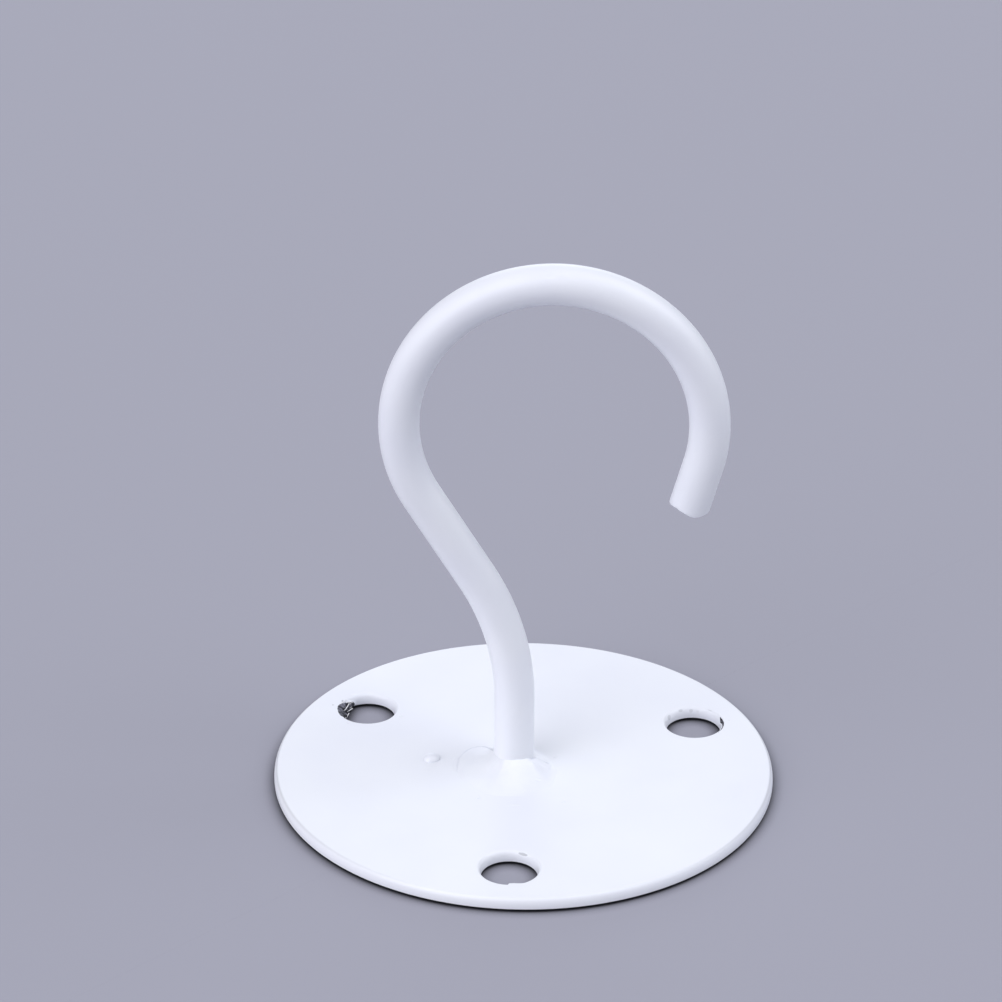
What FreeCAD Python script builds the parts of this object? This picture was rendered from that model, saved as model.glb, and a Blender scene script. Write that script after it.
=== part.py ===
import FreeCAD, Part
import os
from math import cos, radians, sin

import Sketcher

# Ceiling hook: a bent round rod welded on a round plate with three screw holes.
# Millimetres. Origin at the middle of the plate's back face, +Z out of the plate along the rod's stem.
# The rod is bent in a plane parallel to XZ, and its mouth opens towards +X.

doc = FreeCAD.newDocument("ceiling_hook")
sheet = doc.addObject("Spreadsheet::Sheet", "Dimensions")
aliases = []


def dimension(alias, value):
    aliases.append(alias)
    row = len(aliases)
    sheet.set("A%d" % row, alias)
    sheet.set("B%d" % row, str(value))
    sheet.setAlias("B%d" % row, alias)


# Plate: the holes' middles lie on a circle, set in from the rim
dimension("plate_diameter", 50.0)
dimension("plate_thickness", 1.1)
dimension("plate_front_round", 0.35)
dimension("plate_back_round", 0.12)
dimension("screw_hole_inset", 5.7)
dimension("screw_hole_diameter", 5.5)
dimension("screw_hole_round", 0.2)
dimension("screw_hole_count", 3)
dimension("first_hole_angle", 27.0)

# Rod: an upright stem, a gentle bend to the left, a straight shank, the round eye and a straight tip
dimension("rod_diameter", 4.0)
dimension("foot_x", -0.97)
dimension("foot_y", 0.58)
dimension("stem_length", 7.25)
dimension("lean_radius", 26.69)
dimension("lean_angle", 31.31)
dimension("shank_length", 10.18)
dimension("eye_radius", 14.98)
dimension("eye_angle", 226.62)
dimension("tip_length", 4.44)
dimension("tip_round", 0.25)

# Weld: a puddle before the rod, a lower lobe at its left and a fillet round it.
# The puddle's and the lobe's middles stand off the rod's own surface.
dimension("puddle_standoff", 0.8)
dimension("puddle_left", 0.3)
dimension("puddle_diameter", 6.4)
dimension("puddle_height", 1.6)
dimension("lobe_standoff", 1.15)
dimension("lobe_forward", 0.4)
dimension("lobe_diameter", 5.4)
dimension("lobe_height", 1.3)
dimension("fillet_leg", 1.1)
dimension("fillet_height", 1.2)

# Spatter: one drop on the plate, left of the weld
dimension("drop_left", 8.25)
dimension("drop_back", 0.1)
dimension("drop_diameter", 1.6)
dimension("drop_height", 0.6)
doc.recompute()

origin = FreeCAD.Vector(0, 0, 0)
upward = FreeCAD.Vector(0, 0, 1)

# A sketch line's or arc's own points, and the sketch's root point
START, END, CENTRE = 1, 2, 3
ROOT = -1


def plane_of(body, role):
    return next(f for f in body.Origin.OriginFeatures if f.Role == role)


def sketch_on(body, role, name):
    sketch = body.newObject("Sketcher::SketchObject", name)
    sketch.AttachmentSupport = [(plane_of(body, role), "")]
    sketch.MapMode = "FlatFace"
    return sketch


def pin(sketch, first, first_point, second, second_point):
    sketch.addConstraint(Sketcher.Constraint("Coincident", first, first_point, second, second_point))


def held(sketch, kind, arguments, name, formula):
    # A sized constraint, named and bound to the sheet
    index = sketch.addConstraint(Sketcher.Constraint(kind, *arguments))
    sketch.renameConstraint(index, name)
    sketch.setExpression("Constraints." + name, formula)


def circles(shape, radius, height):
    # Names of the shape's full circular edges of one radius at one height
    names = []
    for number, edge in enumerate(shape.Edges, start=1):
        if not isinstance(edge.Curve, Part.Circle):
            continue
        same_radius = abs(edge.Curve.Radius - radius) < 1e-4
        same_height = abs(edge.Curve.Center.z - height) < 1e-4
        if same_radius and same_height:
            names.append("Edge%d" % number)
    return names


def rounded(body, name, base, edges, formula):
    fillet = body.newObject("PartDesign::Fillet", name)
    fillet.Base = (base, edges)
    fillet.setExpression("Radius", formula)
    body.Tip = fillet
    doc.recompute()
    return fillet


# Mounting plate: a punched disc, its front rim rolled over by the punch, with three screw holes
plate = doc.addObject("PartDesign::Body", "mounting_plate")
plate.Label = "mounting_plate"
disc_sketch = sketch_on(plate, "XY_Plane", "disc_outline")
rim = disc_sketch.addGeometry(Part.Circle(origin, upward, sheet.plate_diameter / 2))
pin(disc_sketch, rim, CENTRE, ROOT, START)
held(disc_sketch, "Diameter", (rim, sheet.plate_diameter), "rim", "Dimensions.plate_diameter")
disc = plate.newObject("PartDesign::Pad", "disc")
disc.Profile = disc_sketch
disc.setExpression("Length", "Dimensions.plate_thickness")
doc.recompute()

hole_sketch = sketch_on(plate, "XY_Plane", "hole_outline")
hole_turn = radians(sheet.first_hole_angle)
screw_circle_radius = sheet.plate_diameter / 2 - sheet.screw_hole_inset
hole_centre = FreeCAD.Vector(cos(hole_turn), sin(hole_turn), 0) * screw_circle_radius
bore = hole_sketch.addGeometry(Part.Circle(hole_centre, upward, sheet.screw_hole_diameter / 2))
spoke = hole_sketch.addGeometry(Part.LineSegment(origin, hole_centre), True)
pin(hole_sketch, spoke, START, ROOT, START)
pin(hole_sketch, spoke, END, bore, CENTRE)
held(hole_sketch, "Diameter", (bore, sheet.screw_hole_diameter), "bore", "Dimensions.screw_hole_diameter")
reach = "Dimensions.plate_diameter / 2 - Dimensions.screw_hole_inset"
held(hole_sketch, "Distance", (spoke, screw_circle_radius), "reach", reach)
held(hole_sketch, "Angle", (spoke, hole_turn), "turn", "Dimensions.first_hole_angle * 1 deg")
hole = plate.newObject("PartDesign::Pocket", "screw_hole")
hole.Profile = hole_sketch
hole.Type = "ThroughAll"
hole.Midplane = True
doc.recompute()

holes = plate.newObject("PartDesign::PolarPattern", "screw_holes")
holes.Originals = [hole]
holes.Axis = (plane_of(plate, "Z_Axis"), [""])
holes.Angle = 360
holes.setExpression("Occurrences", "Dimensions.screw_hole_count")
plate.Tip = holes
doc.recompute()

front = sheet.plate_thickness
hole_edges = circles(holes.Shape, sheet.screw_hole_diameter / 2, front)
hole_rounds = rounded(plate, "hole_rounds", holes, hole_edges, "Dimensions.screw_hole_round")
front_edge = circles(hole_rounds.Shape, sheet.plate_diameter / 2, front)
front_round = rounded(plate, "front_round", hole_rounds, front_edge, "Dimensions.plate_front_round")
back_edge = circles(front_round.Shape, sheet.plate_diameter / 2, 0)
rounded(plate, "back_round", front_round, back_edge, "Dimensions.plate_back_round")

# Hook rod: one round rod along a path of two straight runs and a stem, joined by tangent bends
rod = doc.addObject("PartDesign::Body", "hook_rod")
rod.Label = "hook_rod"
rod.setExpression(".Placement.Base.x", "Dimensions.foot_x")
rod.setExpression(".Placement.Base.y", "Dimensions.foot_y")
rod.setExpression(".Placement.Base.z", "Dimensions.plate_thickness")

lean = radians(sheet.lean_angle)
swing = radians(sheet.eye_angle)
stem_top = FreeCAD.Vector(0, sheet.stem_length, 0)
lean_centre = stem_top + FreeCAD.Vector(-sheet.lean_radius, 0, 0)
lean_end = lean_centre + FreeCAD.Vector(cos(lean), sin(lean), 0) * sheet.lean_radius
shank_end = lean_end + FreeCAD.Vector(-sin(lean), cos(lean), 0) * sheet.shank_length
eye_centre = shank_end + FreeCAD.Vector(cos(lean), sin(lean), 0) * sheet.eye_radius
eye_start_angle = radians(180) + lean
eye_end_angle = eye_start_angle - swing
eye_end = eye_centre + FreeCAD.Vector(cos(eye_end_angle), sin(eye_end_angle), 0) * sheet.eye_radius
tip_end = eye_end + FreeCAD.Vector(sin(eye_end_angle), -cos(eye_end_angle), 0) * sheet.tip_length

path = sketch_on(rod, "XZ_Plane", "rod_path")
stem = path.addGeometry(Part.LineSegment(origin, stem_top))
lean_bend = path.addGeometry(Part.ArcOfCircle(Part.Circle(lean_centre, upward, sheet.lean_radius), 0, lean))
shank = path.addGeometry(Part.LineSegment(lean_end, shank_end))
eye_circle = Part.Circle(eye_centre, upward, sheet.eye_radius)
eye = path.addGeometry(Part.ArcOfCircle(eye_circle, eye_end_angle, eye_start_angle))
tip = path.addGeometry(Part.LineSegment(eye_end, tip_end))
pin(path, stem, START, ROOT, START)
path.addConstraint(Sketcher.Constraint("Vertical", stem))
path.addConstraint(Sketcher.Constraint("Tangent", stem, END, lean_bend, START))
path.addConstraint(Sketcher.Constraint("Tangent", lean_bend, END, shank, START))
path.addConstraint(Sketcher.Constraint("Tangent", shank, END, eye, END))
path.addConstraint(Sketcher.Constraint("Tangent", eye, START, tip, START))
held(path, "Distance", (stem, sheet.stem_length), "stem", "Dimensions.stem_length")
held(path, "Radius", (lean_bend, sheet.lean_radius), "lean", "Dimensions.lean_radius")
held(path, "Angle", (lean_bend, lean), "lean_turn", "Dimensions.lean_angle * 1 deg")
held(path, "Distance", (shank, sheet.shank_length), "shank", "Dimensions.shank_length")
held(path, "Radius", (eye, sheet.eye_radius), "eye", "Dimensions.eye_radius")
held(path, "Angle", (eye, swing), "eye_turn", "Dimensions.eye_angle * 1 deg")
held(path, "Distance", (tip, sheet.tip_length), "tip", "Dimensions.tip_length")

section = sketch_on(rod, "XY_Plane", "rod_section")
bar_round = section.addGeometry(Part.Circle(origin, upward, sheet.rod_diameter / 2))
pin(section, bar_round, CENTRE, ROOT, START)
held(section, "Diameter", (bar_round, sheet.rod_diameter), "round", "Dimensions.rod_diameter")
doc.recompute()

bar = rod.newObject("PartDesign::AdditivePipe", "bent_bar")
bar.Profile = section
bar.Spine = path
rod.Tip = bar
doc.recompute()

tip_centre = FreeCAD.Vector(tip_end.x, 0, tip_end.y)
tip_edges = []
for number, edge in enumerate(bar.Shape.Edges, start=1):
    if isinstance(edge.Curve, Part.Circle) and edge.Curve.Center.isEqual(tip_centre, 1e-3):
        tip_edges.append("Edge%d" % number)
rounded(rod, "tip_rounding", bar, tip_edges, "Dimensions.tip_round")


def cap(name, diameter, height, x, y):
    # A round cap of weld metal, flat below, standing on the plate's front face
    dome = doc.addObject("Part::Sphere", name)
    base = "(Dimensions.%s / 2)" % diameter
    rise = "Dimensions." + height
    ball = "((%s * %s + %s * %s) / (2 * %s))" % (base, base, rise, rise, rise)
    dome.setExpression("Radius", ball)
    dome.setExpression("Angle1", "asin((%s - %s) / %s)" % (ball, rise, ball))
    dome.setExpression(".Placement.Base.x", x)
    dome.setExpression(".Placement.Base.y", y)
    dome.setExpression(".Placement.Base.z", "Dimensions.plate_thickness + %s - %s" % (rise, ball))
    return dome


# Weld bead: the puddle, the lobe and the fillet run together, and wrap the rod's foot
puddle = cap(
    "puddle",
    "puddle_diameter",
    "puddle_height",
    "Dimensions.foot_x - Dimensions.puddle_left",
    "Dimensions.foot_y - Dimensions.rod_diameter / 2 - Dimensions.puddle_standoff",
)
lobe = cap(
    "lobe",
    "lobe_diameter",
    "lobe_height",
    "Dimensions.foot_x - Dimensions.rod_diameter / 2 - Dimensions.lobe_standoff",
    "Dimensions.foot_y - Dimensions.lobe_forward",
)
fillet = doc.addObject("Part::Cone", "fillet")
fillet.setExpression("Radius1", "Dimensions.rod_diameter / 2 + Dimensions.fillet_leg")
fillet.setExpression("Radius2", "Dimensions.rod_diameter / 2")
fillet.setExpression("Height", "Dimensions.fillet_height")
socket = doc.addObject("Part::Cylinder", "rod_socket")
socket.setExpression("Radius", "Dimensions.rod_diameter / 2")
socket.setExpression("Height", "Dimensions.stem_length")
for ring in (fillet, socket):
    ring.setExpression(".Placement.Base.x", "Dimensions.foot_x")
    ring.setExpression(".Placement.Base.y", "Dimensions.foot_y")
    ring.setExpression(".Placement.Base.z", "Dimensions.plate_thickness")
melt = doc.addObject("Part::MultiFuse", "melt")
melt.Shapes = [puddle, lobe, fillet]
bead = doc.addObject("Part::Cut", "weld_bead")
bead.Label = "weld_bead"
bead.Base = melt
bead.Tool = socket

# Weld spatter: one small drop on the plate
spatter = cap(
    "weld_spatter",
    "drop_diameter",
    "drop_height",
    "Dimensions.foot_x - Dimensions.drop_left",
    "Dimensions.foot_y + Dimensions.drop_back",
)
spatter.Label = "weld_spatter"
doc.recompute()

nodes = [plate, rod, bead, spatter]
for thing in doc.Objects:
    if "Invalid" in thing.State or "Error" in thing.State:
        raise RuntimeError("%s did not compute: %s" % (thing.Name, thing.State))
for node in nodes:
    if node.Shape.isNull() or not node.Shape.isValid():
        raise RuntimeError("%s has no valid shape" % node.Label)

os.makedirs("parts", exist_ok=True)
for node in nodes:
    node.Shape.exportStep("parts/%s.step" % node.Label)
    box = node.Shape.BoundBox
    print("%s: %d solid, %.2f mm3, z %.2f to %.2f" % (
        node.Label, len(node.Shape.Solids), node.Shape.Volume, box.ZMin, box.ZMax))
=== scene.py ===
import bpy
import bmesh
from math import atan2, cos, degrees, exp, hypot, log, pi, radians, sin
from random import Random
from mathutils import Matrix, Vector, noise


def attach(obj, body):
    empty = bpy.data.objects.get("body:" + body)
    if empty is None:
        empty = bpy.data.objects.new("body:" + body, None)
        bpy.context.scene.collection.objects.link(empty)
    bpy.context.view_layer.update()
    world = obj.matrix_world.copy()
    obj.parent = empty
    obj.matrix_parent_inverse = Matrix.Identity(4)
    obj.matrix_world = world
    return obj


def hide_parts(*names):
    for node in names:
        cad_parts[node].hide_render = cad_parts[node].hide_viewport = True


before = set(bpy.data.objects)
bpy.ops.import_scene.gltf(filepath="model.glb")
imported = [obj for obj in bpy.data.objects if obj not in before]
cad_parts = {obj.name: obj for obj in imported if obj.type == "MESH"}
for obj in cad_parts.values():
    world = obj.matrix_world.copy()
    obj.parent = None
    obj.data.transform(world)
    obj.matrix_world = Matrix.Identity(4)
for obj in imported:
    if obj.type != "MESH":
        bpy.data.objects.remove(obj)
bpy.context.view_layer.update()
scene = bpy.context.scene

# Camera: stands before the hook and a little above it, where the photographer's lens was.
# It looks 27.5 degrees down through a long lens, so the plate's round outline is a flat ellipse.
MM = 0.001
LENS_PLACE = Vector((5.03, -358.57, 217.5)) * MM
LENS_TURN = 1.19
LENS_DIP = 27.5
LENS_ROLL = 0.34
LENS_LENGTH = 149.65
lens = bpy.data.cameras.new("photograph_lens")
lens.sensor_width = 36.0
lens.lens = LENS_LENGTH
lens.clip_start = 0.02
lens.clip_end = 20.0
camera = bpy.data.objects.new("camera", lens)
scene.collection.objects.link(camera)
turned = Matrix.Rotation(radians(LENS_TURN), 4, "Z")
dipped = Matrix.Rotation(radians(90.0 - LENS_DIP), 4, "X")
rolled = Matrix.Rotation(radians(LENS_ROLL), 4, "Z")
camera.matrix_world = Matrix.Translation(LENS_PLACE) @ turned @ dipped @ rolled
scene.camera = camera


# Powder coat: the white finish on every piece, baked on as one skin over plate, rod and weld.
# It is a glossy white with the faint ripple that such a coat gets, called orange peel.
def add_node(tree, kind, sockets=None, **settings):
    made = tree.nodes.new(kind)
    for name, value in settings.items():
        setattr(made, name, value)
    for key, value in (sockets or {}).items():
        if isinstance(value, bpy.types.NodeSocket):
            tree.links.new(value, made.inputs[key])
        else:
            made.inputs[key].default_value = value
    return made


def math_node(tree, operation, first, second=0.0, third=0.0):
    sockets = {0: first, 1: second, 2: third}
    return add_node(tree, "ShaderNodeMath", sockets, operation=operation).outputs[0]


def mix_colours(tree, share, first, second):
    # Inputs 6 and 7 and output 2 of the mix node are its colour sockets
    sockets = {"Factor": share, 6: first, 7: second}
    return add_node(tree, "ShaderNodeMix", sockets, data_type="RGBA").outputs[2]


def new_group(kind, name, inputs, outputs):
    # A node group with named sockets: inputs are (name, type, value), outputs are (name, type)
    tree = bpy.data.node_groups.new(name, kind)
    for socket_name, socket_type, value in inputs:
        socket = tree.interface.new_socket(socket_name, in_out="INPUT", socket_type=socket_type)
        if value is not None:
            socket.default_value = value
    for socket_name, socket_type in outputs:
        tree.interface.new_socket(socket_name, in_out="OUTPUT", socket_type=socket_type)
    return tree, tree.nodes.new("NodeGroupInput"), tree.nodes.new("NodeGroupOutput")


FLOAT = "NodeSocketFloat"
COLOUR = "NodeSocketColor"

coat_group, coat_in, coat_out = new_group(
    "ShaderNodeTree",
    "powder_coat",
    [
        ("Coat Colour", COLOUR, (0.80, 0.82, 0.86, 1)),
        ("Thin Colour", COLOUR, (0.76, 0.78, 0.84, 1)),
        ("Peel Scale", FLOAT, 900.0),
        ("Drift Scale", FLOAT, 110.0),
        ("Roughness", FLOAT, 0.3),
        ("Roughness Spread", FLOAT, 0.06),
    ],
    [("Colour", COLOUR), ("Roughness", FLOAT), ("Height", FLOAT)],
)
coat_place = add_node(coat_group, "ShaderNodeTexCoord").outputs["Object"]
peel = add_node(coat_group, "ShaderNodeTexNoise", {
    "Vector": coat_place,
    "Scale": coat_in.outputs["Peel Scale"],
    "Detail": 1.5,
    "Roughness": 0.45,
})
drift = add_node(coat_group, "ShaderNodeTexNoise", {
    "Vector": coat_place,
    "Scale": coat_in.outputs["Drift Scale"],
    "Detail": 3.0,
    "Roughness": 0.5,
})
drift_share = add_node(coat_group, "ShaderNodeMapRange", {
    "Value": drift.outputs["Fac"],
    "From Min": 0.35,
    "From Max": 0.7,
}).outputs["Result"]
DRIFT_WEIGHT = 2.5
thick_colour = coat_in.outputs["Coat Colour"]
thin_colour = coat_in.outputs["Thin Colour"]
coat_colour = mix_colours(coat_group, drift_share, thick_colour, thin_colour)
spread = math_node(coat_group, "MULTIPLY", drift_share, coat_in.outputs["Roughness Spread"])
coat_rough = math_node(coat_group, "ADD", coat_in.outputs["Roughness"], spread)
waves = math_node(coat_group, "MULTIPLY_ADD", drift.outputs["Fac"], DRIFT_WEIGHT, peel.outputs["Fac"])
coat_group.links.new(coat_colour, coat_out.inputs["Colour"])
coat_group.links.new(coat_rough, coat_out.inputs["Roughness"])
coat_group.links.new(waves, coat_out.inputs["Height"])


def new_material(name):
    material = bpy.data.materials.new(name)
    material.use_nodes = True
    return material, material.node_tree, material.node_tree.nodes["Principled BSDF"]


RIPPLE_STRENGTH = 0.5
RIPPLE_HEIGHT = 0.00001
GLOSS = 0.45


def coated_material(name, peel_scale, drift_scale):
    # A material with the coat's colour, roughness and ripple, at the scales of its own piece
    material, tree, shader = new_material(name)
    scales = {"Peel Scale": peel_scale, "Drift Scale": drift_scale}
    coat = add_node(tree, "ShaderNodeGroup", scales, node_tree=coat_group)
    ripple = add_node(tree, "ShaderNodeBump", {
        "Height": coat.outputs["Height"],
        "Strength": RIPPLE_STRENGTH,
        "Distance": RIPPLE_HEIGHT,
    })
    tree.links.new(coat.outputs["Colour"], shader.inputs["Base Color"])
    tree.links.new(coat.outputs["Roughness"], shader.inputs["Roughness"])
    tree.links.new(ripple.outputs["Normal"], shader.inputs["Normal"])
    shader.inputs["Specular IOR Level"].default_value = GLOSS
    return material, tree, shader, coat


# Mounting plate: one round disc punched from 1.1 mm steel sheet, with three screw holes near its rim.
# The punch rolled its front rim over. The coat is torn in the left hole and chipped in the right one.
PLATE_RADIUS = 25.0
PLATE_THICK = 1.1
EDGE_ROUND = 0.42
EDGE_DROP = 0.85
BACK_ROUND = 0.05
HOLE_RADIUS = 2.75
HOLE_CIRCLE = 19.3
HOLE_APRON = 0.95
RIM_APRON = 0.85
FIRST_HOLE = 27.0
HOLE_COUNT = 3
RIM_STEPS = 432
HOLE_STEPS = 288
RIM_CUTS = 7
RIM_ROUND_STEPS = 14
HOLE_CUTS = 10
HOLE_ROUND_STEPS = 18
WALL_CUTS = 3
BACK_ROUND_STEPS = 5
BACK_CUTS = 1
SEAM = 4e-6
DOUBLED = 1e-6

plate_tree, plate_in, plate_out = new_group(
    "GeometryNodeTree",
    "punched_plate",
    [
        ("Plate Radius", FLOAT, PLATE_RADIUS * MM),
        ("Thickness", FLOAT, PLATE_THICK * MM),
        ("Edge Round", FLOAT, EDGE_ROUND * MM),
        ("Edge Drop", FLOAT, EDGE_DROP * MM),
        ("Back Round", FLOAT, BACK_ROUND * MM),
        ("Hole Radius", FLOAT, HOLE_RADIUS * MM),
        ("Hole Circle", FLOAT, HOLE_CIRCLE * MM),
        ("Hole Apron", FLOAT, HOLE_APRON * MM),
        ("Rim Apron", FLOAT, RIM_APRON * MM),
        ("First Hole", FLOAT, radians(FIRST_HOLE)),
        ("Hole Count", "NodeSocketInt", HOLE_COUNT),
        ("Rim Steps", "NodeSocketInt", RIM_STEPS),
        ("Hole Steps", "NodeSocketInt", HOLE_STEPS),
        ("Finish", "NodeSocketMaterial", None),
    ],
    [("Mesh", "NodeSocketGeometry")],
)


def sized(name):
    return plate_in.outputs[name]


def minus(first, second):
    return math_node(plate_tree, "SUBTRACT", first, second)


def plus(first, second):
    return math_node(plate_tree, "ADD", first, second)


def spot(across, down):
    return add_node(plate_tree, "ShaderNodeCombineXYZ", {"X": across, "Y": down}).outputs[0]


def run(start, end, cuts):
    ends = {"Start": start, "End": end}
    line = add_node(plate_tree, "GeometryNodeCurvePrimitiveLine", ends).outputs[0]
    return add_node(plate_tree, "GeometryNodeSubdivideCurve", {"Curve": line, "Cuts": cuts}).outputs[0]


def circle(tree, steps, radius):
    sizes = {"Resolution": steps, "Radius": radius}
    return add_node(tree, "GeometryNodeCurvePrimitiveCircle", sizes).outputs["Curve"]


def quarter(middle, across, down, start_degrees, sweep_degrees, steps):
    # A quarter of an ellipse about its middle
    arc = add_node(plate_tree, "GeometryNodeCurveArc", {
        "Resolution": steps,
        "Radius": 1.0,
        "Start Angle": radians(start_degrees),
        "Sweep Angle": radians(sweep_degrees),
    }).outputs["Curve"]
    return add_node(plate_tree, "GeometryNodeTransform", {
        "Geometry": arc,
        "Translation": middle,
        "Scale": spot(across, down),
    }).outputs[0]


def edge_band(radius, steps, side, apron, apron_cuts, round_steps):
    # The rolled section of a rim (side -1) or of a hole (side 1), swept round its circle
    def inward(size):
        return math_node(plate_tree, "MULTIPLY", size, side)

    thick = math_node(plate_tree, "MULTIPLY", sized("Thickness"), -1.0)
    edge = sized("Edge Round")
    drop = sized("Edge Drop")
    back = sized("Back Round")
    front_in = inward(edge)
    back_in = inward(back)
    front_far = inward(plus(edge, apron))
    back_far = inward(plus(back, apron))
    shoulder = plus(thick, drop)
    heel = math_node(plate_tree, "MULTIPLY", back, -1.0)
    section = plate_tree.nodes.new("GeometryNodeJoinGeometry")
    parts = [
        run(spot(front_far, thick), spot(front_in, thick), apron_cuts),
        quarter(spot(front_in, shoulder), edge, drop, -90, -90 * side, round_steps),
        run(spot(0.0, shoulder), spot(0.0, heel), WALL_CUTS),
        quarter(spot(back_in, heel), back, back, 90, 90 * side, BACK_ROUND_STEPS),
        run(spot(back_far, 0.0), spot(back_in, 0.0), BACK_CUTS),
    ]
    for part in parts:
        plate_tree.links.new(part, section.inputs[0])
    return add_node(plate_tree, "GeometryNodeCurveToMesh", {
        "Curve": circle(plate_tree, steps, radius),
        "Profile Curve": section.outputs[0],
    }).outputs[0]


hole_places = add_node(plate_tree, "GeometryNodeMeshCircle", {
    "Vertices": sized("Hole Count"),
    "Radius": sized("Hole Circle"),
}).outputs[0]
hole_turn = add_node(plate_tree, "ShaderNodeCombineXYZ", {"Z": sized("First Hole")}).outputs[0]
hole_places = add_node(plate_tree, "GeometryNodeTransform", {
    "Geometry": hole_places,
    "Rotation": hole_turn,
}).outputs[0]


def at_holes(shape):
    # Copies a shape to every hole
    sockets = {"Points": hole_places, "Instance": shape}
    put = add_node(plate_tree, "GeometryNodeInstanceOnPoints", sockets).outputs[0]
    return add_node(plate_tree, "GeometryNodeRealizeInstances", {"Geometry": put}).outputs[0]


def flat_face(rim_radius, hole_radius, height):
    # The flat sheet between the rim's band and the holes' bands
    outline = plate_tree.nodes.new("GeometryNodeJoinGeometry")
    rim = circle(plate_tree, sized("Rim Steps"), rim_radius)
    bore = circle(plate_tree, sized("Hole Steps"), hole_radius)
    plate_tree.links.new(rim, outline.inputs[0])
    plate_tree.links.new(at_holes(bore), outline.inputs[0])
    sheet = add_node(plate_tree, "GeometryNodeFillCurve", {"Curve": outline.outputs[0]}).outputs[0]
    lift = add_node(plate_tree, "ShaderNodeCombineXYZ", {"Z": height}).outputs[0]
    lifted = {"Geometry": sheet, "Translation": lift}
    return add_node(plate_tree, "GeometryNodeTransform", lifted).outputs[0]


rim_band = edge_band(
    sized("Plate Radius"), sized("Rim Steps"), -1, sized("Rim Apron"), RIM_CUTS, RIM_ROUND_STEPS
)
hole_band = edge_band(
    sized("Hole Radius"), sized("Hole Steps"), 1, sized("Hole Apron"), HOLE_CUTS, HOLE_ROUND_STEPS
)
front_face = flat_face(
    minus(minus(sized("Plate Radius"), sized("Edge Round")), sized("Rim Apron")),
    plus(plus(sized("Hole Radius"), sized("Edge Round")), sized("Hole Apron")),
    sized("Thickness"),
)
back_face = flat_face(
    minus(minus(sized("Plate Radius"), sized("Back Round")), sized("Rim Apron")),
    plus(plus(sized("Hole Radius"), sized("Back Round")), sized("Hole Apron")),
    0.0,
)
shell = plate_tree.nodes.new("GeometryNodeJoinGeometry")
for part in (rim_band, at_holes(hole_band), front_face, back_face):
    plate_tree.links.new(part, shell.inputs[0])
welded = add_node(plate_tree, "GeometryNodeMergeByDistance", {
    "Geometry": shell.outputs[0],
    "Distance": SEAM,
})
whole = add_node(plate_tree, "GeometryNodeRealizeInstances", {"Geometry": welded.outputs[0]})
dressed = add_node(plate_tree, "GeometryNodeSetMaterial", {
    "Geometry": whole.outputs[0],
    "Material": sized("Finish"),
})
plate_tree.links.new(dressed.outputs[0], plate_out.inputs[0])


def grow(name, tree, values, start=None):
    # Runs a geometry tree with these values by name, and gives its result as a plain mesh object
    carrier = bpy.data.objects.new(name + "_carrier", start or bpy.data.meshes.new(name + "_start"))
    scene.collection.objects.link(carrier)
    modifier = carrier.modifiers.new("shape", "NODES")
    modifier.node_group = tree
    sockets = {
        item.name: item.identifier
        for item in tree.interface.items_tree
        if item.in_out == "INPUT"
    }
    for label, value in values.items():
        modifier[sockets[label]] = value
    graph = bpy.context.evaluated_depsgraph_get()
    mesh = bpy.data.meshes.new_from_object(carrier.evaluated_get(graph))
    mesh.name = name
    bpy.data.objects.remove(carrier)
    piece = bpy.data.objects.new(name, mesh)
    scene.collection.objects.link(piece)
    return piece


def settle_faces(shape):
    # Turns every face outwards and shades it smooth
    bmesh.ops.recalc_face_normals(shape, faces=shape.faces)
    for face in shape.faces:
        face.smooth = True


def outward(piece):
    # Joins doubled points, then settles the faces
    shape = bmesh.new()
    shape.from_mesh(piece.data)
    bmesh.ops.remove_doubles(shape, verts=shape.verts, dist=DOUBLED)
    settle_faces(shape)
    shape.to_mesh(piece.data)
    shape.free()


def new_piece(name, shape, material):
    # Makes an object in the scene of a shape that was built point by point
    settle_faces(shape)
    mesh = bpy.data.meshes.new(name)
    shape.to_mesh(mesh)
    shape.free()
    mesh.materials.append(material)
    piece = bpy.data.objects.new(name, mesh)
    scene.collection.objects.link(piece)
    return piece


# Where the screw holes stand, then the wear at each: angles run round the hole from +X, in degrees,
# and every other size here is in millimetres
RIGHT_HOLE, LEFT_HOLE, FRONT_HOLE = [
    (cos(radians(turn)) * HOLE_CIRCLE, sin(radians(turn)) * HOLE_CIRCLE)
    for turn in (FIRST_HOLE, FIRST_HOLE + 120, FIRST_HOLE + 240)
]
TORN_WALL = [
    # angle, how far torn metal and coat hang into the left hole, how high up the wall
    (119, 0.00, 0.45),
    (133, 0.34, 0.68),
    (148, 0.70, 0.88),
    (162, 0.86, 1.04),
    (176, 0.88, 1.20),
    (192, 0.74, 1.20),
    (206, 0.40, 1.20),
    (217, 0.00, 1.20),
]
CHIP = [
    # angle, distance from the right hole's middle, half width, depth of the split in the coat
    (-38, 3.12, 0.02, 0.00),
    (-26, 3.07, 0.05, 0.08),
    (-8, 3.05, 0.08, 0.14),
    (4, 3.00, 0.12, 0.24),
    (13, 2.96, 0.14, 0.28),
    (20, 2.98, 0.08, 0.18),
    (25, 3.04, 0.02, 0.00),
]
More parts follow.
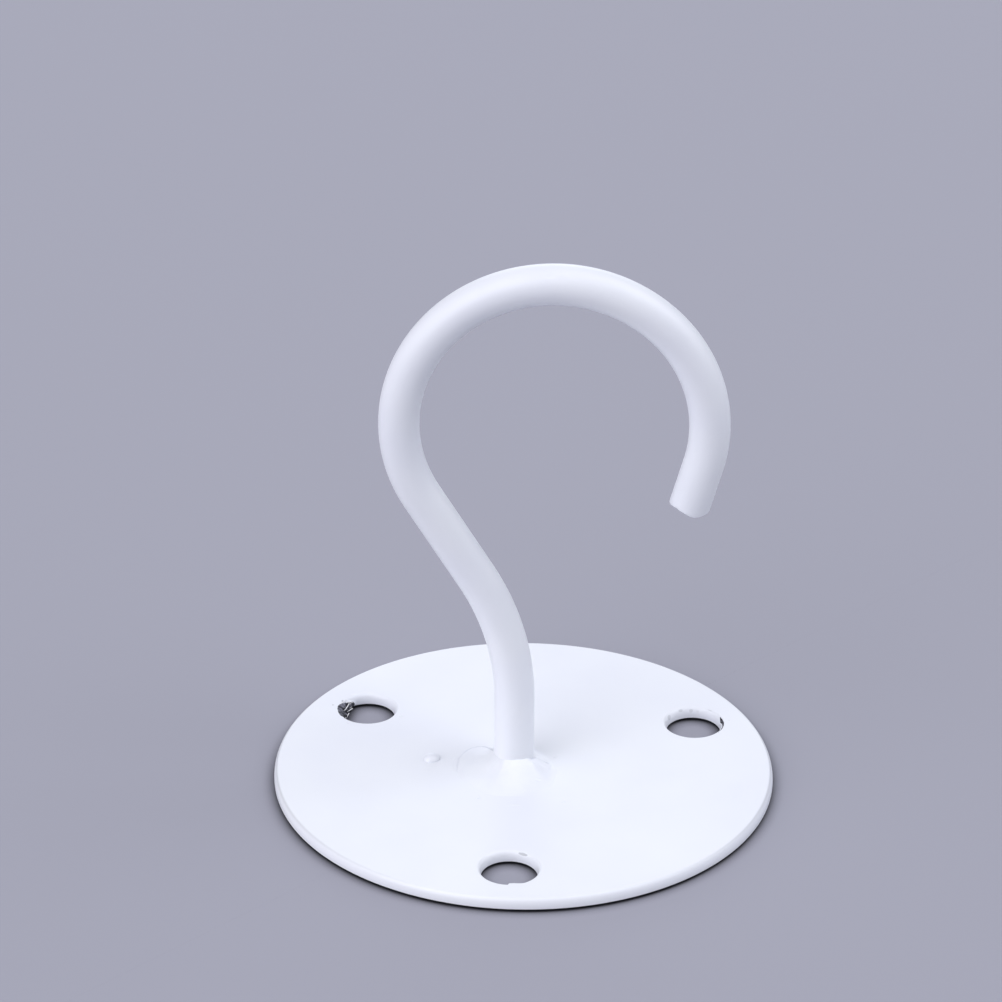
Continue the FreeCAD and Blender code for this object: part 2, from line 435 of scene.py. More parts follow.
STRANDS = [
    # half thickness, how stained, points as (angle, distance, height) round the left hole
    (0.050, 1.70, [
        (174, 2.52, 0.62), (166, 2.38, 0.66), (158, 2.32, 0.74), (150, 2.34, 0.84), (144, 2.46, 0.92),
    ]),
    (0.045, 1.80, [
        (150, 2.66, 0.94), (143, 2.50, 0.92), (136, 2.44, 0.80), (130, 2.48, 0.62),
    ]),
    (0.050, 0.50, [
        (170, 3.12, 1.05), (161, 3.02, 1.04), (153, 2.92, 1.02), (146, 2.86, 0.98), (140, 2.94, 1.01),
    ]),
    (0.045, 1.80, [
        (178, 2.14, 0.60), (168, 2.00, 0.54), (156, 1.96, 0.46), (146, 2.02, 0.36), (140, 2.14, 0.26),
    ]),
    (0.045, 1.80, [
        (205, 2.32, 0.54), (198, 2.10, 0.66), (191, 2.00, 0.66), (185, 1.92, 0.54), (182, 1.92, 0.42),
    ]),
    (0.045, 1.80, [
        (184, 2.46, 0.84), (174, 2.28, 0.84), (164, 2.18, 0.90),
    ]),
]
STRAND_SIDES = 8
STRAND_TIP = 0.35
FLAKE_SEED = 11
FLAKE_COUNT = 18
FLAKE_CORNERS = 6
FLAKE_HALF_THICK = 0.02
FLAKE_LONGER = 1.7
TEAR_EDGE = 3.2
CHIP_EDGE = 3.5
CHIP_LOWEST = 0.35
ROUGH_MIDDLE = 145
ROUGH_SPAN = 40
ROUGH_EDGE = 3.0
ROUGH_DEPTH = 0.05
NIB_HEIGHT = 0.30
NIB_RING = 2.95
NIB_HALF = 0.45
STAIN_AND_RIM_SHADE_LOWEST = 0.5
STAIN_DEPTH = 0.03
# Where the painted shade on the rim's left and right sides lies, in millimetres from the plate's middle
RIM_SHADE_FROM = 24.2
RIM_SHADE_RING = 24.74
RIM_SHADE_HALF = 0.10
SMUDGES = [
    # hole, angle, distance, half length along the edge, half width, how dark
    (RIGHT_HOLE, 116, 2.92, 0.28, 0.09, 0.55),
    (RIGHT_HOLE, 94, 2.86, 0.24, 0.08, 0.45),
    (RIGHT_HOLE, 80, 2.84, 0.16, 0.05, 0.25),
    (RIGHT_HOLE, 55, 3.05, 0.34, 0.06, 0.4),
    (RIGHT_HOLE, 8, 3.66, 0.16, 0.08, 0.2),
    (RIGHT_HOLE, 150, 2.86, 0.34, 0.12, 0.5),
    (FRONT_HOLE, 64, 2.94, 0.54, 0.09, 1.6),
    (LEFT_HOLE, 171, 3.66, 0.12, 0.08, 1.0),
    (LEFT_HOLE, 151, 3.08, 0.16, 0.08, 1.6),
    (LEFT_HOLE, 238, 3.60, 0.16, 0.08, 0.3),
]


def read_row(rows, angle, column):
    # Reads a table of rows by angle, straight from one row to the next; 0 beyond its ends
    for row, after in zip(rows, rows[1:]):
        if row[0] <= angle <= after[0]:
            return row[column] + (after[column] - row[column]) * (angle - row[0]) / (after[0] - row[0])
    return 0.0


def about_hole(hole, place):
    # A point's angle and distance from a hole's middle; the angle runs from -90 to 270
    across = place.x - hole[0]
    deep = place.y - hole[1]
    return (degrees(atan2(deep, across)) + 90) % 360 - 90, hypot(across, deep)


def within(share):
    # Holds a share between 0 and 1
    return min(1.0, max(0.0, share))


def in_left_hole(facing, off, height):
    # A point by its angle, distance and height about the left hole's middle
    angle = radians(facing)
    return Vector((LEFT_HOLE[0] + cos(angle) * off, LEFT_HOLE[1] + sin(angle) * off, height))


def tear_left_hole(vertex, place, bare):
    # Pulls the wall inwards in slanted crags, and marks it bare
    angle, off = about_hole(LEFT_HOLE, place)
    hang = read_row(TORN_WALL, angle, 1)
    if hang <= 0 or off >= TEAR_EDGE:
        return
    turn = radians(angle)
    slant = Vector((turn * 5.5 + place.z * 2.4, place.z * 1.6 - turn * 2.0, off))
    crag = 0.62 + 0.75 * noise.noise(slant) + 0.35 * noise.noise(slant * 2.7)
    low_enough = within((read_row(TORN_WALL, angle, 2) - place.z) / 0.16 + 0.5)
    belly = 0.35 + 0.65 * sin(pi * within((1.12 - place.z) / 1.3) ** 0.8)
    hold = within((TEAR_EDGE - off) / 0.42)
    push = hang * max(0.08, crag) * belly * hold * low_enough
    vertex.co.x -= cos(turn) * push * MM
    vertex.co.y -= sin(turn) * push * MM
    vertex[bare] = min(1.0, hang * 4) * within((TEAR_EDGE - off) / 0.12) * low_enough


def chip_right_hole(vertex, place, bare):
    # Sinks the split in the coat and marks it bare, and roughens the wall at the hole's left
    angle, off = about_hole(RIGHT_HOLE, place)
    if off >= CHIP_EDGE:
        return
    half = read_row(CHIP, angle, 2)
    share = 1 - ((off - read_row(CHIP, angle, 1)) / half) ** 2 if half else 0
    if share > 0 and place.z > CHIP_LOWEST:
        vertex.co.z -= read_row(CHIP, angle, 3) * share * MM
        vertex[bare] = max(vertex[bare], min(1.0, 2.2 * share))
    rough = max(0.0, 1 - abs(angle - ROUGH_MIDDLE) / ROUGH_SPAN) * (off < ROUGH_EDGE)
    vertex.co.x -= ROUGH_DEPTH * rough * noise.noise(place * 4.5) * MM
    vertex.co.y -= ROUGH_DEPTH * rough * noise.noise(place * 4.5) * MM


def push_nib(vertex, place):
    # Pushes a short length of the front hole's near edge into the hole, as a small nib
    angle, off = about_hole(FRONT_HOLE, place)
    past_step = within((angle + 93) / 4) * within((-62 - angle) / 18)
    nib = past_step * max(0.0, 1 - ((off - NIB_RING) / NIB_HALF) ** 2)
    vertex.co.y += NIB_HEIGHT * nib * MM


def stain_coat_and_paint_rim_shade(vertex, place, stain_and_painted_rim_shade):
    # Marks and sinks the smudges round the holes, and paints shade on the rim's edge at its two sides,
    # for the dark band the glossy rim reflects there
    for hole, middle, ring, half_long, half_wide, dark in SMUDGES:
        angle, off = about_hole(hole, place)
        along = radians(angle - middle) * ring / half_long
        aside = (off - ring) / half_wide
        share = max(0.0, 1 - along * along - aside * aside)
        if share and place.z > STAIN_AND_RIM_SHADE_LOWEST:
            vertex[stain_and_painted_rim_shade] = max(vertex[stain_and_painted_rim_shade], min(1.0, dark * min(1.0, 2 * share)))
            vertex.co.z -= STAIN_DEPTH * dark * share * MM
    # Painted shade: the rim's edge is darkened towards its left and right sides, where the glossy coat
    # reflects a dark band
    rim = hypot(place.x, place.y)
    if rim > RIM_SHADE_FROM and place.z > STAIN_AND_RIM_SHADE_LOWEST:
        side_on = abs(place.x) / rim
        painted_rim_shade = exp(-((rim - RIM_SHADE_RING) / RIM_SHADE_HALF) ** 2) * max(0.0, side_on - 0.35)
        vertex[stain_and_painted_rim_shade] = max(vertex[stain_and_painted_rim_shade], min(1.0, 0.8 * painted_rim_shade))


def close_tube(shape, rings):
    # Joins rings of points, in order, into one closed body with flat ends
    shape.faces.new(list(reversed(rings[0])))
    shape.faces.new(rings[-1])
    for ring, after in zip(rings, rings[1:]):
        for i in range(len(ring)):
            j = (i + 1) % len(ring)
            shape.faces.new((ring[i], ring[j], after[j], after[i]))


def add_flakes(shape, bare):
    # Hangs thin flakes of torn coat on the torn wall, each at its own slant
    chance = Random(FLAKE_SEED)
    for flake in range(FLAKE_COUNT):
        facing = chance.uniform(136, 206)
        angle = radians(facing)
        off = HOLE_RADIUS - read_row(TORN_WALL, facing, 1) * chance.uniform(0.1, 0.7)
        middle = in_left_hole(facing, off, chance.uniform(0.1, 0.7))
        along = Vector((
            chance.uniform(-1, 1),
            chance.uniform(-1, 1),
            chance.uniform(-0.6, 0.9),
        )).normalized()
        facing_out = Vector((cos(angle), sin(angle), chance.uniform(-0.4, 0.4)))
        aside = along.cross(facing_out).normalized()
        thick = along.cross(aside) * FLAKE_HALF_THICK
        size = chance.uniform(0.12, 0.26)
        rings = []
        for level in (-1, 1):
            ring = []
            for corner in range(FLAKE_CORNERS):
                around = 2 * pi * corner / FLAKE_CORNERS
                stretch = size * (0.6 + 0.5 * noise.noise(middle * 7 + Vector((corner, 0, 0))))
                far = along * cos(around) * stretch * FLAKE_LONGER
                place = middle + far + aside * sin(around) * stretch + thick * level
                place.z = min(1.09, max(0.02, place.z))
                made = shape.verts.new(place * MM)
                made[bare] = 1.0
                ring.append(made)
            rings.append(ring)
        close_tube(shape, rings)


def add_strands(shape, stain_and_painted_rim_shade):
    # Draws the threads of torn coat along their points, thinner at both ends
    for thick, stained, points in STRANDS:
        line = [in_left_hole(facing, off, height) for facing, off, height in points]
        last = len(line) - 1
        rings = []
        for i, place in enumerate(line):
            heading = (line[min(i + 1, last)] - line[max(i - 1, 0)]).normalized()
            aside = heading.cross(Vector((0, 0, 1))).normalized()
            above = aside.cross(heading)
            girth = thick * (STRAND_TIP if i in (0, last) else 1.0)
            ring = []
            for side in range(STRAND_SIDES):
                around = 2 * pi * side / STRAND_SIDES
                corner = place + aside * cos(around) * girth + above * sin(around) * girth
                made = shape.verts.new(corner * MM)
                made[stain_and_painted_rim_shade] = stained
                ring.append(made)
            rings.append(ring)
        close_tube(shape, rings)


def wear_plate(piece):
    # Gives the plate all its wear and the painted shade on its rim's sides: what changes the sheet
    # first, then the torn coat in the left hole
    shape = bmesh.new()
    shape.from_mesh(piece.data)
    bare = shape.verts.layers.float.new("bare")
    stain_and_painted_rim_shade = shape.verts.layers.float.new("stain_and_painted_rim_shade")
    for vertex in shape.verts:
        place = vertex.co / MM
        tear_left_hole(vertex, place, bare)
        chip_right_hole(vertex, place, bare)
        push_nib(vertex, place)
        stain_coat_and_paint_rim_shade(vertex, place, stain_and_painted_rim_shade)
    add_flakes(shape, bare)
    add_strands(shape, stain_and_painted_rim_shade)
    settle_faces(shape)
    shape.to_mesh(piece.data)
    shape.free()


BARE_ROUGHNESS = 0.55
STAIN_AND_RIM_SHADE_SHARE = 0.55
plate_finish, plate_nodes, plate_shader, plate_coat = coated_material(
    "white_powder_coat_on_plate", 700.0, 60.0
)
bare_share = add_node(plate_nodes, "ShaderNodeAttribute", attribute_name="bare").outputs["Fac"]
stain_and_painted_rim_shade_share = add_node(plate_nodes, "ShaderNodeAttribute", attribute_name="stain_and_painted_rim_shade").outputs["Fac"]
plate_place = add_node(plate_nodes, "ShaderNodeTexCoord").outputs["Object"]
ragged = add_node(plate_nodes, "ShaderNodeTexNoise", {
    "Vector": plate_place,
    "Scale": 6000.0,
    "Detail": 3.0,
    "Roughness": 0.6,
}).outputs["Fac"]
ragged_edge = math_node(plate_nodes, "MULTIPLY_ADD", ragged, 0.5, -0.25)
bare_mask = add_node(plate_nodes, "ShaderNodeMapRange", {
    "Value": math_node(plate_nodes, "ADD", bare_share, ragged_edge),
    "From Min": 0.38,
    "From Max": 0.62,
}, interpolation_type="SMOOTHSTEP").outputs["Result"]
along_tear = add_node(plate_nodes, "ShaderNodeMapping", {
    "Vector": plate_place,
    "Rotation": (0.0, radians(-12), radians(-65)),
    "Scale": (0.25, 1.0, 1.0),
}).outputs["Vector"]
steel_grain = add_node(plate_nodes, "ShaderNodeTexNoise", {
    "Vector": along_tear,
    "Scale": 4200.0,
    "Detail": 3.0,
    "Roughness": 0.6,
}).outputs["Fac"]
steel_ramp = add_node(plate_nodes, "ShaderNodeValToRGB", {"Fac": steel_grain})
steel_ramp.color_ramp.elements[0].position = 0.45
steel_ramp.color_ramp.elements[0].color = (0.004, 0.004, 0.008, 1)
steel_ramp.color_ramp.elements[1].position = 0.62
steel_ramp.color_ramp.elements[1].color = (0.17, 0.17, 0.21, 1)
# This grey serves both the real smudges and threads and the painted shade on the rim's left and right
# sides
stain_and_painted_rim_shade_colour = (0.22, 0.23, 0.24, 1)
stain_and_painted_rim_shade_here = math_node(plate_nodes, "MULTIPLY", stain_and_painted_rim_shade_share, STAIN_AND_RIM_SHADE_SHARE)
stained = mix_colours(plate_nodes, stain_and_painted_rim_shade_here, plate_coat.outputs["Colour"], stain_and_painted_rim_shade_colour)
plate_colour = mix_colours(plate_nodes, bare_mask, stained, steel_ramp.outputs["Color"])
plate_nodes.links.new(plate_colour, plate_shader.inputs["Base Color"])
plate_rough = add_node(plate_nodes, "ShaderNodeMix", {
    "Factor": bare_mask,
    "A": plate_coat.outputs["Roughness"],
    "B": BARE_ROUGHNESS,
})
plate_nodes.links.new(plate_rough.outputs["Result"], plate_shader.inputs["Roughness"])

plate = grow("plate_disc", plate_tree, {"Finish": plate_finish})
outward(plate)
wear_plate(plate)
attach(plate, "root")
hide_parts("mounting_plate")

# Hook rod: one length of 4 mm round steel, cropped by a shear and bent cold round a former.
# A short stem stands on the plate, then the bar leans left and turns back over in an open eye.
ROD_RADIUS = 2.0
FOOT_X = -0.97
FOOT_Y = 0.58
STEM = 7.25
LEAN_RADIUS = 26.69
LEAN_ANGLE = 31.31
SHANK = 10.18
EYE_RADIUS = 14.98
EYE_ANGLE = 226.62
TIP = 4.44
TIP_ROUND = 0.15
TIP_RINGS = 10
ROD_SIDES = 96
PATH_STEP = 0.3
CUT_DEPTH = 1.2
CUT_NEAR = 3.0
CUT_FLAT = 1.6
CUT_END = [
    # degrees round the bar's end from its right side towards the front,
    # how far the shear left it long there
    (-25, 0.0), (0, 0.05), (30, 0.14), (55, 0.32), (70, 0.42), (85, 0.40), (110, 0.22), (135, 0.12),
    (150, 0.20), (180, 0.42), (205, 0.10), (225, 0.0),
]
BEND_MARKS = [
    # a pit and a grain in the coat on top of the bend: place, half width, how far out
    ((2.00, -0.76, 55.16), 0.34, -0.10),
    ((3.21, -0.68, 55.23), 0.30, 0.07),
]


def rod_path():
    # Walks along the bent bar from its foot: (x, z, share of the bar's full girth)
    points = []
    place = Vector((0.0, 0.0))
    heading = pi / 2
    bends = [
        (STEM, 0.0),
        (LEAN_RADIUS * radians(LEAN_ANGLE), radians(LEAN_ANGLE)),
        (SHANK, 0.0),
        (EYE_RADIUS * radians(EYE_ANGLE), -radians(EYE_ANGLE)),
        (TIP - TIP_ROUND, 0.0),
    ]
    for length, turn in bends:
        steps = max(2, round(length / PATH_STEP))
        for step in range(steps):
            points.append((place.x, place.y, 1.0))
            middle = heading + turn / steps / 2
            chord = length / steps
            if turn:
                part = abs(turn) / steps
                chord = 2 * (length / abs(turn)) * sin(part / 2)
            place = place + Vector((cos(middle), sin(middle))) * chord
            heading += turn / steps
    for step in range(TIP_RINGS):
        angle = pi / 2 * step / TIP_RINGS
        forward = TIP_ROUND * sin(angle)
        girth = (ROD_RADIUS - TIP_ROUND * (1 - cos(angle))) / ROD_RADIUS
        spot_x = place.x + cos(heading) * forward
        spot_z = place.y + sin(heading) * forward
        points.append((spot_x, spot_z, girth))
    return points


path_points = rod_path()
path_mesh = bpy.data.meshes.new("rod_path")
path_mesh.from_pydata(
    [((FOOT_X + x) * MM, FOOT_Y * MM, (PLATE_THICK + z) * MM) for x, z, girth in path_points],
    [(i, i + 1) for i in range(len(path_points) - 1)],
    [],
)
girths = path_mesh.attributes.new("girth", "FLOAT", "POINT")
girths.data.foreach_set("value", [girth for x, z, girth in path_points])

rod_tree, rod_in, rod_out = new_group(
    "GeometryNodeTree",
    "bent_bar",
    [
        ("Path", "NodeSocketGeometry", None),
        ("Rod Radius", FLOAT, ROD_RADIUS * MM),
        ("Sides", "NodeSocketInt", ROD_SIDES),
        ("Finish", "NodeSocketMaterial", None),
    ],
    [("Mesh", "NodeSocketGeometry")],
)
rod_line = add_node(rod_tree, "GeometryNodeMeshToCurve", {"Mesh": rod_in.outputs["Path"]}).outputs[0]
rod_section = circle(rod_tree, rod_in.outputs["Sides"], rod_in.outputs["Rod Radius"])
rod_girth = add_node(rod_tree, "GeometryNodeInputNamedAttribute", {"Name": "girth"}, data_type="FLOAT")
rod_skin = add_node(rod_tree, "GeometryNodeCurveToMesh", {
    "Curve": rod_line,
    "Profile Curve": rod_section,
    "Scale": rod_girth.outputs["Attribute"],
    "Fill Caps": True,
}).outputs[0]
rod_whole = add_node(rod_tree, "GeometryNodeRealizeInstances", {"Geometry": rod_skin}).outputs[0]
rod_dressed = add_node(rod_tree, "GeometryNodeSetMaterial", {
    "Geometry": rod_whole,
    "Material": rod_in.outputs["Finish"],
}).outputs[0]
rod_tree.links.new(rod_dressed, rod_out.inputs[0])

rod_finish = coated_material("white_powder_coat_on_rod", 900.0, 90.0)[0]


def cut_end(piece):
    # Leaves the free end a little longer where the shear tore off, and marks the top of the bend
    last = Vector((path_points[-1][0], path_points[-1][1]))
    heading = (last - Vector((path_points[-6][0], path_points[-6][1]))).normalized()
    for vertex in piece.data.vertices:
        place = vertex.co / MM
        from_end = Vector((place.x - FOOT_X, place.z - PLATE_THICK)) - last
        behind = -from_end.dot(heading)
        if from_end.length < CUT_NEAR and behind < CUT_DEPTH:
            right = from_end.dot(Vector((-heading.y, heading.x)))
            round_turn = (degrees(atan2(FOOT_Y - place.y, right)) + 90) % 360 - 90
            middle_off = hypot(FOOT_Y - place.y, right)
            longer = read_row(CUT_END, round_turn, 1) * min(1.0, middle_off / CUT_FLAT) ** 3
            share = within(1 - behind / CUT_DEPTH)
            vertex.co.x += heading.x * longer * share * MM
            vertex.co.z += heading.y * longer * share * MM
        for middle, half, out in BEND_MARKS:
            near = (place - Vector(middle)).length / half
            if near < 1:
                vertex.co += vertex.normal * out * (1 - near * near) ** 2 * MM


rod = grow("bent_rod", rod_tree, {"Finish": rod_finish}, path_mesh)
outward(rod)
cut_end(rod)
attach(rod, "root")
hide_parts("hook_rod")

# Weld bead: one arc weld joins the rod's foot to the plate, and the coat runs over it.
# It slopes down in front, spreads in a thin flat lobe at the left, and ends in ripples at the right.
BEAD_SPOKES = 320
BEAD_RINGS = 110
BEAD_SINK = 0.05
BEAD_INSET = 0.15
TOE_SINK = 0.01
TOE_HEIGHT = 0.006
REACH_LEAST = 0.4
REACH_MOST = 9.5
REACH_STEP = 0.03
SLOPE_POWER = 3.0
FOOT_SLOPE = [
    # degrees round the rod from +X, height on the rod, reach of the slope,
    # how much its top is a level step
    (0, 0.62, 2.0, 0.3),
    (40, 0.60, 1.6, 0.0),
    (90, 0.70, 1.6, 0.0),
    (140, 0.85, 2.6, 0.0),
    (180, 0.98, 3.6, 0.0),
    (225, 1.05, 5.0, 0.1),
    (250, 1.24, 5.6, 0.4),
    (275, 1.30, 5.2, 0.8),
    (305, 1.20, 4.4, 0.9),
    (332, 0.95, 3.2, 0.7),
]
LOBES = [
    # middle x, middle y, half width, half depth, height, how soft its toe is,
    # y where it starts to fade, y where it is gone
    (-4.50, -0.60, 2.15, 3.85, 0.130, 0.30, -0.8, -3.8),
    (-4.05, -0.35, 3.10, 3.70, 0.030, 0.30, -0.2, -3.4),
    (0.80, -0.60, 1.95, 2.05, 0.120, 0.35, 0.1, -2.4),
]
RIPPLES = [
    # middle x, middle y, half width, half depth, height of each small crest in the weld
    (1.05, 1.62, 0.30, 0.22, 0.07),
    (1.62, 1.16, 0.32, 0.18, 0.06),
    (2.28, 0.60, 0.34, 0.20, 0.07),
    (1.55, -3.37, 0.45, 0.15, 0.09),
    (0.90, -1.45, 0.38, 0.30, 0.08),
    (-2.70, 2.20, 0.34, 0.30, 0.05),
]
CREASES = [
    # half width, how deep, points (x, y, how dark) along each thin crease where the molten metal
    # folded; how dark is painted shade in the crease
    (0.11, 0.9, [
        (-6.62, -1.97, 0.0), (-6.62, -0.54, 0.28), (-6.51, 0.76, 0.30), (-6.23, 1.49, 0.22),
        (-5.73, 2.39, 0.32), (-5.16, 3.00, 0.40), (-4.26, 3.24, 0.55), (-3.80, 3.04, 0.60),
        (-3.33, 2.47, 0.35), (-3.08, 1.70, 0.20), (-3.00, 1.10, 0.0),
    ]),
    (0.09, 0.5, [
        (-7.18, 1.22, 0.0), (-7.15, 0.10, 0.18), (-7.10, -1.67, 0.0),
    ]),
    (0.13, 0.6, [
        (0.75, -0.55, 0.30), (1.34, 0.02, 0.30), (1.90, 0.12, 0.22), (2.40, -0.02, 0.55),
        (2.60, -0.10, 0.0),
    ]),
]
CREASE_SINK = 0.6
BLEND = 0.02


def round_the_rod(angle, column):
    # Reads FOOT_SLOPE between its rows, with an even ease from one to the next
    degrees_round = (angle * 180 / pi) % 360
    for row, after in zip(FOOT_SLOPE, FOOT_SLOPE[1:] + [(360,) + FOOT_SLOPE[0][1:]]):
        if row[0] <= degrees_round <= after[0]:
            share = (degrees_round - row[0]) / (after[0] - row[0])
            return row[column] + (after[column] - row[column]) * share * share * (3 - 2 * share)
    return FOOT_SLOPE[0][column]


def ease(share):
    share = within(share)
    return share * share * (3 - 2 * share)


def crease_at(x, y):
    # How deep the nearest crease is at a point, and how dark the painted shade along it is
    deep = dark = 0.0
    here = Vector((x, y, 0))
    for half, depth, points in CREASES:
        for start, end in zip(points, points[1:]):
            first = Vector((start[0], start[1], 0))
            line = Vector((end[0], end[1], 0)) - first
            share = within((here - first).dot(line) / line.length_squared)
            fall = exp(-(((here - first - line * share).length / half) ** 2))
            deep = max(deep, depth * fall)
            dark = max(dark, (start[2] + (end[2] - start[2]) * share) * fall)
    return deep, dark


def bead_height(x, y):
    # The weld's height above the plate: its lobes, its slope up the rod, its crests and creases
    heaps = []
    for mid_x, mid_y, half_x, half_y, height, soft, fade_y, gone_y in LOBES:
        away = ((x - mid_x) / half_x) ** 2 + ((y - mid_y) / half_y) ** 2
        fade = ease((y - gone_y) / (fade_y - gone_y))
        heaps.append(height * fade * (1 - away) ** soft if away < 1 else 0.0)
    angle = atan2(y - FOOT_Y, x - FOOT_X)
    off = hypot(x - FOOT_X, y - FOOT_Y) - ROD_RADIUS
    share = 1 - max(off, 0.0) / round_the_rod(angle, 2)
    level = round_the_rod(angle, 3)
    slope = 0.0
    if share > 0:
        step = level * ease(share) ** 1.3
        curve = (1 - level) * share ** SLOPE_POWER
        slope = round_the_rod(angle, 1) * (step + curve)
    low = BLEND * log(sum(exp(heap / BLEND) - 1 for heap in heaps) + 1)
    slow = 0.05 * noise.noise(Vector((x * 0.8, y * 0.8, 4.0)))
    quick = 0.02 * noise.noise(Vector((x * 2.2, y * 2.2, 9.0)))
    wobble = slow + quick
    total = (low + slope) * (1 + wobble)
    for mid_x, mid_y, half_x, half_y, height in RIPPLES:
        away = ((x - mid_x) / half_x) ** 2 + ((y - mid_y) / half_y) ** 2
        total += height * (1 - away) ** 2 if away < 1 else 0.0
    return total * (1 - CREASE_SINK * crease_at(x, y)[0])


def bead_reach(angle):
    # How far from the rod's middle the weld still stands above the plate
    reach = ROD_RADIUS + REACH_LEAST
    off = reach
    while off < REACH_MOST:
        if bead_height(FOOT_X + cos(angle) * off, FOOT_Y + sin(angle) * off) > TOE_HEIGHT:
            reach = off
        off += REACH_STEP
    return reach


bead_angles = [2 * pi * i / BEAD_SPOKES for i in range(BEAD_SPOKES)]
reaches = [bead_reach(angle) for angle in bead_angles]
for smoothing in range(2):
    before = reaches[-1:] + reaches[:-1]
    after = reaches[1:] + reaches[:1]
    reaches = [(a + 2 * b + c) / 4 for a, b, c in zip(before, reaches, after)]

bead_shape = bmesh.new()
painted_crease_shade = bead_shape.verts.layers.float.new("painted_crease_shade")
bead_rows = []
for ring in range(BEAD_RINGS + 1):
    row = []
    for angle, reach in zip(bead_angles, reaches):
        share = ring / BEAD_RINGS
        off = (ROD_RADIUS - BEAD_INSET) + (reach - ROD_RADIUS + BEAD_INSET) * share
        x = FOOT_X + cos(angle) * off
        y = FOOT_Y + sin(angle) * off
        height = -TOE_SINK if ring == BEAD_RINGS else bead_height(x, y)
        made = bead_shape.verts.new((x * MM, y * MM, (PLATE_THICK + height) * MM))
        made[painted_crease_shade] = crease_at(x, y)[1]
        row.append(made)
    bead_rows.append(row)
for end in (BEAD_RINGS, 0):
    row = []
    for vertex in bead_rows[end]:
        row.append(bead_shape.verts.new((vertex.co.x, vertex.co.y, (PLATE_THICK - BEAD_SINK) * MM)))
    bead_rows.append(row)
for ring, row in enumerate(bead_rows):
    after = bead_rows[(ring + 1) % len(bead_rows)]
    for i in range(BEAD_SPOKES):
        j = (i + 1) % BEAD_SPOKES
        bead_shape.faces.new((row[i], row[j], after[j], after[i]))

weld_finish, weld_nodes, weld_shader, weld_coat = coated_material(
    "white_powder_coat_on_weld", 1100.0, 260.0
)
# Painted shade: the coat's colour is darkened along the creases, where they lie in shade
painted_crease_shade_share = add_node(weld_nodes, "ShaderNodeAttribute", attribute_name="painted_crease_shade").outputs["Fac"]
painted_crease_shade_colour = (0.40, 0.42, 0.50, 1)
weld_coat_and_painted_crease_shade = mix_colours(weld_nodes, painted_crease_shade_share, weld_coat.outputs["Colour"], painted_crease_shade_colour)
weld_nodes.links.new(weld_coat_and_painted_crease_shade, weld_shader.inputs["Base Color"])
bead = new_piece("weld_metal", bead_shape, weld_finish)
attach(bead, "root")
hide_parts("weld_bead")

# Weld spatter: a drop of molten metal that flew off the arc and froze on the plate, left of the bead.
# The coat covers it. A few grains of the same spatter, no bigger than dust, lie round about.
GRAINS = [
    # middle x, middle y, half width, half depth, height
    (-9.22, 0.68, 0.80, 0.80, 0.52),
    (4.03, -7.14, 0.22, 0.22, 0.05),
    (-4.29, -6.65, 0.20, 0.20, 0.05),
    (-12.72, 9.07, 0.24, 0.24, 0.06),
    (-0.72, -7.86, 0.62, 0.15, 0.05),
    (3.14, 1.38, 0.20, 0.16, 0.06),
]
GRAIN_SIDES = 40
GRAIN_RINGS = 12
GRAIN_SINK = 0.03
grain_shape = bmesh.new()
for mid_x, mid_y, half_wide, half_deep, height in GRAINS:
    rows = []
    for ring in range(GRAIN_RINGS):
        lift = pi / 2 * ring / GRAIN_RINGS
        z = PLATE_THICK - GRAIN_SINK + (height + GRAIN_SINK) * sin(lift)
        row = []
        for side in range(GRAIN_SIDES):
            angle = 2 * pi * side / GRAIN_SIDES
            bulge = 1 + 0.07 * sin(2 * angle + 0.6) + 0.03 * sin(3 * angle + 2.0)
            off = bulge * cos(lift)
            x = mid_x + cos(angle) * off * half_wide
            y = mid_y + sin(angle) * off * half_deep
            row.append(grain_shape.verts.new((x * MM, y * MM, z * MM)))
        rows.append(row)
    top = grain_shape.verts.new((mid_x * MM, mid_y * MM, (PLATE_THICK + height) * MM))
    for row, after in zip(rows, rows[1:]):
        for i in range(GRAIN_SIDES):
            j = (i + 1) % GRAIN_SIDES
            grain_shape.faces.new((row[i], row[j], after[j], after[i]))
    last = rows[-1]
    for i in range(GRAIN_SIDES):
        grain_shape.faces.new((last[i], last[(i + 1) % GRAIN_SIDES], top))
    grain_shape.faces.new(list(reversed(rows[0])))
spatter = new_piece("spatter_drops", grain_shape, weld_finish)
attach(spatter, "root")
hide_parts("weld_spatter")

# Floor and light: a plain pale floor, and the even light of a white tent.
# The plate stands a third of a millimetre off the floor, so a thin dark line runs under it; the floor's
# colour is also painted near black where the plate is close above it, as painted shade.
FLOOR_HALF = 8.0
FLOOR_GAP = 0.32 * MM
SHADE_REACH = 0.0018
SHADE_COLOUR = (0.015, 0.015, 0.02, 1)
FLOOR_COLOUR = (0.33, 0.33, 0.385, 1)
FLOOR_ROUGHNESS = 0.7
floor_mesh = bpy.data.meshes.new("floor")
floor_mesh.from_pydata(
    [
        (-FLOOR_HALF, -FLOOR_HALF, -FLOOR_GAP),
        (FLOOR_HALF, -FLOOR_HALF, -FLOOR_GAP),
        (FLOOR_HALF, FLOOR_HALF, -FLOOR_GAP),
        (-FLOOR_HALF, FLOOR_HALF, -FLOOR_GAP),
    ],
    [],
    [(0, 1, 2, 3)],
)
floor = bpy.data.objects.new("floor", floor_mesh)
scene.collection.objects.link(floor)
floor_finish, floor_nodes, floor_shader = new_material("pale_floor")
# Painted shade: the floor's colour is darkened to near black where the plate is close above it
painted_shade_occlusion = add_node(floor_nodes, "ShaderNodeAmbientOcclusion", {"Distance": SHADE_REACH})
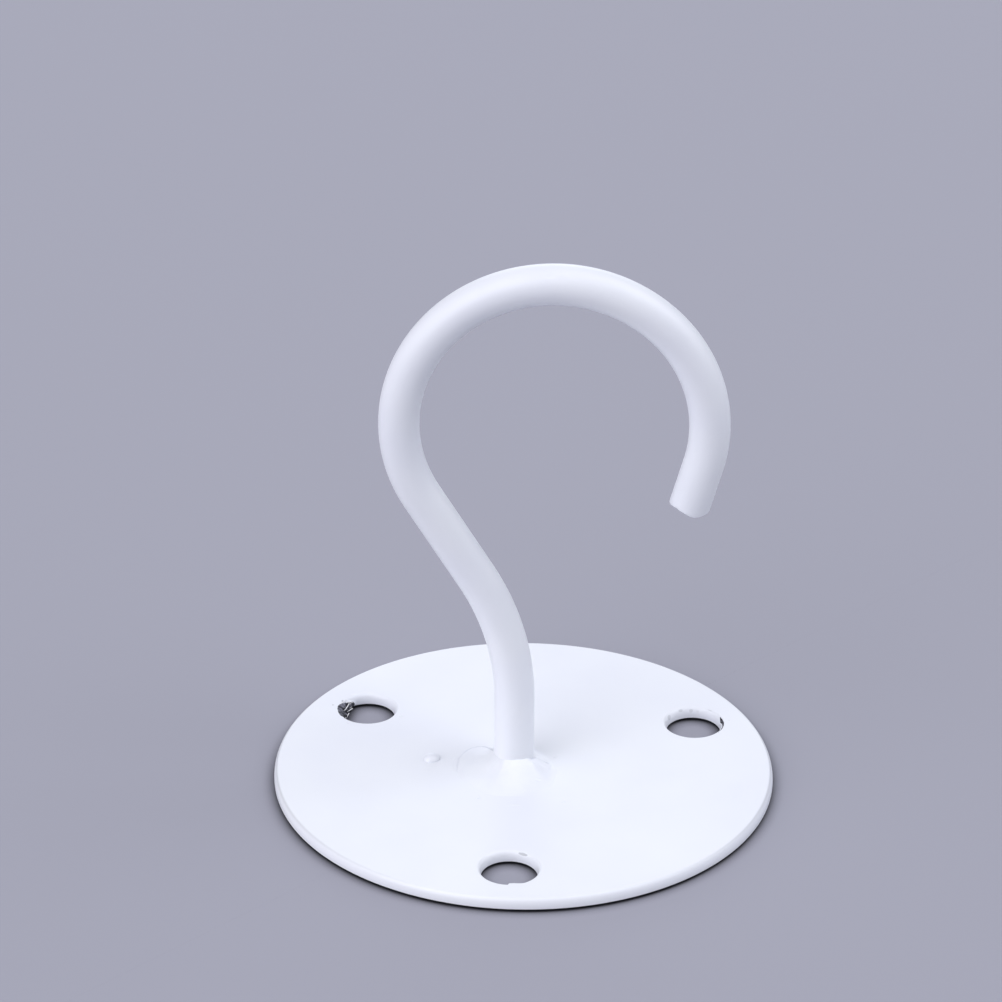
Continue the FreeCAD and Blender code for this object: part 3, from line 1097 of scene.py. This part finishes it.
painted_shade_mix = add_node(floor_nodes, "ShaderNodeMapRange", {
    "Value": painted_shade_occlusion.outputs["AO"],
    "From Min": 0.28,
    "From Max": 0.9,
}).outputs["Result"]
floor_with_painted_shade = mix_colours(floor_nodes, painted_shade_mix, SHADE_COLOUR, FLOOR_COLOUR)
floor_nodes.links.new(floor_with_painted_shade, floor_shader.inputs["Base Color"])
floor_shader.inputs["Roughness"].default_value = FLOOR_ROUGHNESS
floor_mesh.materials.append(floor_finish)

tent = bpy.data.worlds.new("tent")
tent.use_nodes = True
scene.world = tent
tent_nodes = tent.node_tree
backdrop = tent_nodes.nodes["Background"]
direction = add_node(tent_nodes, "ShaderNodeTexCoord").outputs["Generated"]
TENT_PANELS = [
    # degrees round from +X, degrees up, how narrow, strength, colour
    (0, 64, 10, 0.80, (1.00, 1.00, 0.98)),
    (240, 64, 10, 0.40, (1.00, 0.98, 0.98)),
    (0, 38, 8, 2.93, (1.00, 1.02, 1.11)),
    (225, 38, 8, 3.22, (1.00, 1.01, 1.08)),
    (90, 10, 10, 2.06, (1.00, 1.05, 1.20)),
    (180, 10, 10, 1.22, (1.00, 0.98, 1.04)),
    (225, 10, 10, 0.98, (1.00, 0.95, 1.02)),
]
sky = None
for round_turn, rise, narrow, strength, colour in TENT_PANELS:
    flat = cos(radians(rise))
    facing = (cos(radians(round_turn)) * flat, sin(radians(round_turn)) * flat, sin(radians(rise)))
    ways = {0: direction, 1: facing}
    along = add_node(tent_nodes, "ShaderNodeVectorMath", ways, operation="DOT_PRODUCT")
    lit = math_node(tent_nodes, "MAXIMUM", along.outputs["Value"], 0.0)
    glow = math_node(tent_nodes, "POWER", lit, float(narrow))
    shade = [strength * share for share in colour]
    scaled = {0: shade, "Scale": glow}
    panel = add_node(tent_nodes, "ShaderNodeVectorMath", scaled, operation="SCALE").outputs[0]
    if sky is None:
        sky = panel
    else:
        both = {0: sky, 1: panel}
        sky = add_node(tent_nodes, "ShaderNodeVectorMath", both, operation="ADD").outputs[0]
tent_nodes.links.new(sky, backdrop.inputs["Color"])
scene.view_settings.view_transform = "Standard"
